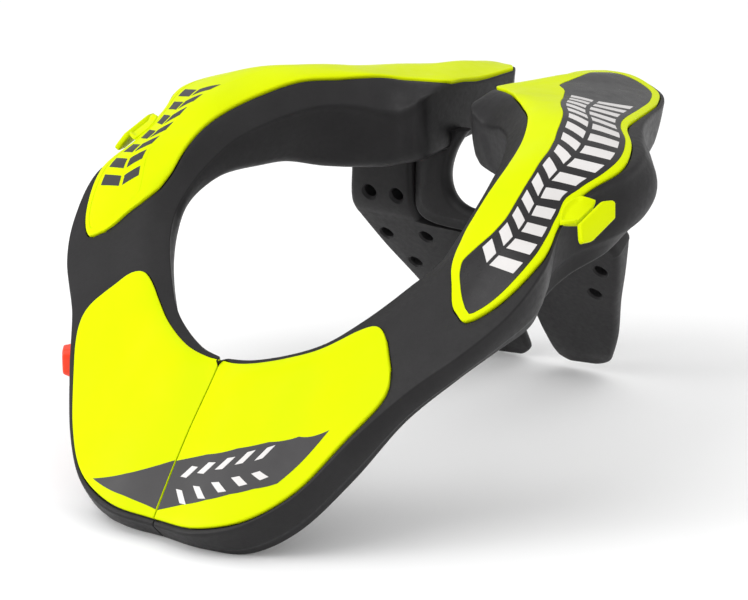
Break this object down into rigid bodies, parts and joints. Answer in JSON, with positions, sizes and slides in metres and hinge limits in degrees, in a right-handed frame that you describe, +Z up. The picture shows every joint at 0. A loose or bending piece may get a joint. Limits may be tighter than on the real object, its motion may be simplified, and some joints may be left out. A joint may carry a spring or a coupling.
{
  "type": "motocross neck brace",
  "caption": "Youth motocross neck brace: dark moulded collar halves, yellow panels, strap hooks, rear bridge, perforated back flaps and a red press button.",
  "frame": {"origin": "middle of the bounding box's bottom face, on the surface the brace lies on", "axes": "+Z up, -Y the chest end, +X the wearer's left"},
  "size_m": [0.2696, 0.3153, 0.1663],
  "materials": {
    "ink": "matte moulded charcoal",
    "yellow": "satin fluorescent yellow",
    "print": "glossy dark print",
    "red": "satin orange-red"
  },
  "bodies": {
    "brace": {"collar_left": "ink", "collar_right": "ink", "front_panel_left": "yellow", "front_panel_right": "yellow", "side_panel_left": "yellow", "side_panel_right": "yellow", "side_graphic_left": "print", "side_graphic_right": "yellow", "strap_hook_left": "yellow", "strap_hook_right": "yellow", "back_flap_left": "ink", "back_flap_right": "ink", "rear_bridge": "ink"},
    "button": {"release_button": "red"}
  },
  "joints": [
    {"name": "button_press", "type": "slide", "parent": "brace", "child": "button", "axis": [0.7828, 0.6222, 0], "range_m": [0, 0.003], "stiffness_N_per_m": 300, "springref_m": -0.001}
  ]
}
